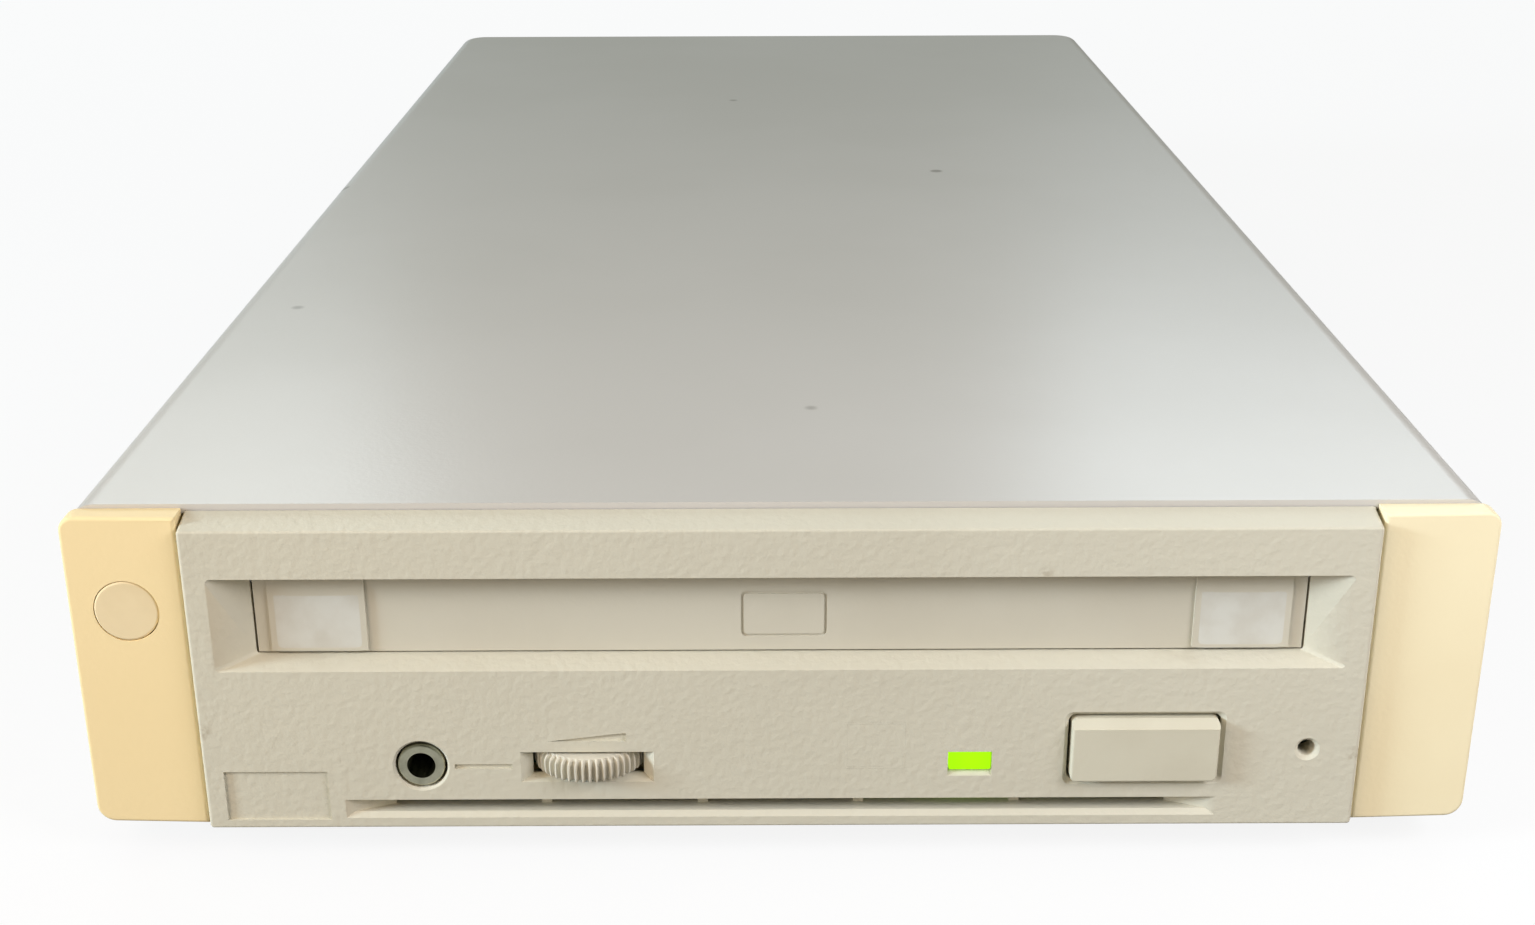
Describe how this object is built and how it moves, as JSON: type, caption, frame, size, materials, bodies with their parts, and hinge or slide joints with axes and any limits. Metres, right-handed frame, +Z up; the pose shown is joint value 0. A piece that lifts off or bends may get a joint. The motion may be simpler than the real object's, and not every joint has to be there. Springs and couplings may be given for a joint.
{
  "type": "external cd drive",
  "caption": "Low external disc drive with a caddy door, eject button, volume wheel, lit lamp and vent strip between two side cheeks, sockets at the back.",
  "frame": {"origin": "on the surface under the feet, below the middle of the whole object", "axes": "+X to the right seen from the front, +Y from the front to the back, +Z up"},
  "size_m": [0.1756, 0.3582, 0.048],
  "materials": {
    "case_paint": "satin fine-grain paint",
    "pan_steel": "satin paint",
    "cheek_plastic": "moulded, aged cream",
    "badge_plastic": "smooth",
    "panel_steel": "satin paint",
    "foot_rubber": "matte",
    "screw_steel": "zinc plated",
    "bezel_plastic": "fine spark-eroded texture",
    "door_plastic": "smooth with glossy pads",
    "button_plastic": "fine texture",
    "steel": "ground",
    "black_plastic": "moulded",
    "wheel_plastic": "moulded",
    "nickel": "plated",
    "lamp_lens": "clear green, lit",
    "board_green": "solder resist",
    "chip_black": "moulded",
    "chassis_metal": "die cast",
    "plate_steel": "zinc plated",
    "grommet_rubber": "soft",
    "carrier_plastic": "moulded",
    "slider_plastic": "moulded acetal",
    "gear_plastic": "moulded acetal",
    "motor_steel": "drawn can",
    "turntable_metal": "turned, rubber ring",
    "puck_plastic": "moulded with magnet",
    "sled_metal": "die cast",
    "lens_glass": "coated",
    "core_iron": "ferrite with tape",
    "capacitor_sleeve": "printed sleeve, plain",
    "sink_aluminium": "black anodised",
    "cable_grey": "flat cable",
    "lead_pvc": "wire insulation",
    "socket_metal": "plated shell with plastic core",
    "bail_wire": "spring wire",
    "selector_white": "moulded",
    "jack_metal": "plated sleeve, plastic collar"
  },
  "bodies": {
    "case": {"top_cover": "case_paint", "base_pan": "pan_steel", "front_frame": "cheek_plastic", "blank_badge": "badge_plastic", "rear_panel": "panel_steel", "rubber_feet": "foot_rubber", "cover_screws": "screw_steel", "drive_mount_screws": "screw_steel", "drive_bezel": "bezel_plastic", "door_pin": "steel", "eject_switch": "black_plastic", "volume_control": "black_plastic", "headphone_jack": "black_plastic", "jack_bush": "nickel", "led_lens": "lamp_lens", "front_circuit_board": "board_green", "front_board_parts": "chip_black", "drive_chassis": "chassis_metal", "drive_top_plate": "plate_steel", "mechanism_deck": "plate_steel", "deck_grommets": "grommet_rubber", "loading_motor": "motor_steel", "spindle_motor": "motor_steel", "clamp_pin": "steel", "sled_rails": "steel", "sled_motor": "motor_steel", "main_circuit_board": "board_green", "board_chips": "chip_black", "power_supply_board": "board_green", "transformer": "core_iron", "capacitors": "capacitor_sleeve", "heat_sink": "sink_aluminium", "ribbon_cable": "cable_grey", "wiring_harness": "lead_pvc", "power_inlet": "black_plastic", "power_switch": "black_plastic", "data_sockets": "socket_metal", "selector_body": "black_plastic", "audio_jacks": "jack_metal"},
    "door": {"caddy_door": "door_plastic"},
    "eject_button": {"eject_button": "button_plastic"},
    "volume_wheel": {"volume_wheel": "wheel_plastic"},
    "power_rocker": {"power_rocker": "black_plastic"},
    "bail_lower_left": {"socket_bail_lower_left": "bail_wire"},
    "bail_lower_right": {"socket_bail_lower_right": "bail_wire"},
    "bail_upper_left": {"socket_bail_upper_left": "bail_wire"},
    "bail_upper_right": {"socket_bail_upper_right": "bail_wire"},
    "selector_drum": {"selector_drum": "selector_white"},
    "selector_button_upper": {"selector_button_upper": "selector_white"},
    "selector_button_lower": {"selector_button_lower": "selector_white"},
    "turntable": {"turntable": "turntable_metal"},
    "sled": {"optical_sled": "sled_metal"},
    "lens": {"objective_lens": "lens_glass"},
    "sled_pinion": {"sled_pinion": "gear_plastic"},
    "cam_slider": {"cam_slider": "slider_plastic"},
    "carrier": {"caddy_carrier": "carrier_plastic"},
    "clamp_arm": {"clamp_arm": "plate_steel"},
    "puck": {"clamp_puck": "puck_plastic"},
    "loading_gear": {"loading_gear": "gear_plastic"},
    "loading_pinion": {"loading_pinion": "gear_plastic"}
  },
  "joints": [
    {"name": "door_swing", "type": "hinge", "parent": "case", "child": "door", "pos_m": [0, -0.1725, 0.0383], "axis": [1, 0, 0], "range_deg": [0, 90], "stiffness_Nm_per_rad": 0.002, "springref_deg": -17.19},
    {"name": "eject_press", "type": "slide", "parent": "case", "child": "eject_button", "axis": [0, 1, 0], "range_m": [0, 0.001], "stiffness_N_per_m": 800, "springref_m": -0.0005},
    {"name": "volume_turn", "type": "hinge", "parent": "case", "child": "volume_wheel", "pos_m": [-0.0244, -0.1717, 0.014], "axis": [0, 0, 1], "range_deg": [-135, 135]},
    {"name": "power_rock", "type": "hinge", "parent": "case", "child": "power_rocker", "pos_m": [0.036, 0.1683, 0.034], "axis": [0, 0, 1], "range_deg": [-20, 0]},
    {"name": "bail_lower_left_swing", "type": "hinge", "parent": "case", "child": "bail_lower_left", "pos_m": [-0.0745, 0.1745, 0.016], "axis": [0, 0, 1], "range_deg": [0, 115]},
    {"name": "bail_lower_right_swing", "type": "hinge", "parent": "case", "child": "bail_lower_right", "pos_m": [0.0065, 0.1745, 0.016], "axis": [0, 0, -1], "range_deg": [0, 115]},
    {"name": "bail_upper_left_swing", "type": "hinge", "parent": "case", "child": "bail_upper_left", "pos_m": [-0.0745, 0.1745, 0.035], "axis": [0, 0, 1], "range_deg": [0, 115]},
    {"name": "bail_upper_right_swing", "type": "hinge", "parent": "case", "child": "bail_upper_right", "pos_m": [0.0065, 0.1745, 0.035], "axis": [0, 0, -1], "range_deg": [0, 115]},
    {"name": "selector_turn", "type": "hinge", "parent": "case", "child": "selector_drum", "pos_m": [0.018, 0.1669, 0.032], "axis": [1, 0, 0], "continuous": true},
    {"name": "selector_press_upper", "type": "slide", "parent": "case", "child": "selector_button_upper", "axis": [0, -1, 0], "range_m": [0, 0.001], "stiffness_N_per_m": 600, "springref_m": -0.0005},
    {"name": "selector_press_lower", "type": "slide", "parent": "case", "child": "selector_button_lower", "axis": [0, -1, 0], "range_m": [0, 0.001], "stiffness_N_per_m": 600, "springref_m": -0.0005},
    {"name": "disc_spin", "type": "hinge", "parent": "case", "child": "turntable", "pos_m": [0, -0.0989, 0.0274], "axis": [0, 0, 1], "continuous": true},
    {"name": "sled_slide", "type": "slide", "parent": "case", "child": "sled", "axis": [0, 1, 0], "range_m": [0, 0.035]},
    {"name": "lens_focus", "type": "slide", "parent": "sled", "child": "lens", "axis": [0, 0, 1], "range_m": [-0.0004, 0.0004], "stiffness_N_per_m": 100},
    {"name": "sled_pinion_turn", "type": "hinge", "parent": "case", "child": "sled_pinion", "pos_m": [-0.02715, -0.0479, 0.0124], "axis": [0, 0, 1], "range_deg": [0, 480]},
    {"name": "cam_slide", "type": "slide", "parent": "case", "child": "cam_slider", "axis": [0, 1, 0], "range_m": [0, 0.012]},
    {"name": "carrier_drop", "type": "slide", "parent": "case", "child": "carrier", "axis": [0, 0, -1], "range_m": [0, 0.005]},
    {"name": "clamp_swing", "type": "hinge", "parent": "case", "child": "clamp_arm", "pos_m": [0, -0.0049, 0.0412], "axis": [1, 0, 0], "range_deg": [0, 5.14]},
    {"name": "puck_spin", "type": "hinge", "parent": "clamp_arm", "child": "puck", "pos_m": [0, -0.0989, 0.0372], "axis": [0, 0, 1], "continuous": true},
    {"name": "loading_gear_turn", "type": "hinge", "parent": "case", "child": "loading_gear", "pos_m": [0.065, 0.0031, 0.01975], "axis": [1, 0, 0], "range_deg": [-125, 0]},
    {"name": "loading_pinion_turn", "type": "hinge", "parent": "case", "child": "loading_pinion", "pos_m": [0.065, 0.01348, 0.01855], "axis": [1, 0, 0], "range_deg": [0, 146]}
  ],
  "couplings": [
    {"joint": "sled_pinion_turn", "follows": "sled_slide", "rad_per_m": 238.1},
    {"joint": "carrier_drop", "follows": "cam_slide", "ratio": 0.41667},
    {"joint": "clamp_swing", "follows": "cam_slide", "rad_per_m": 7.4},
    {"joint": "loading_gear_turn", "follows": "cam_slide", "rad_per_m": -178.57},
    {"joint": "loading_pinion_turn", "follows": "cam_slide", "rad_per_m": 208.33}
  ]
}
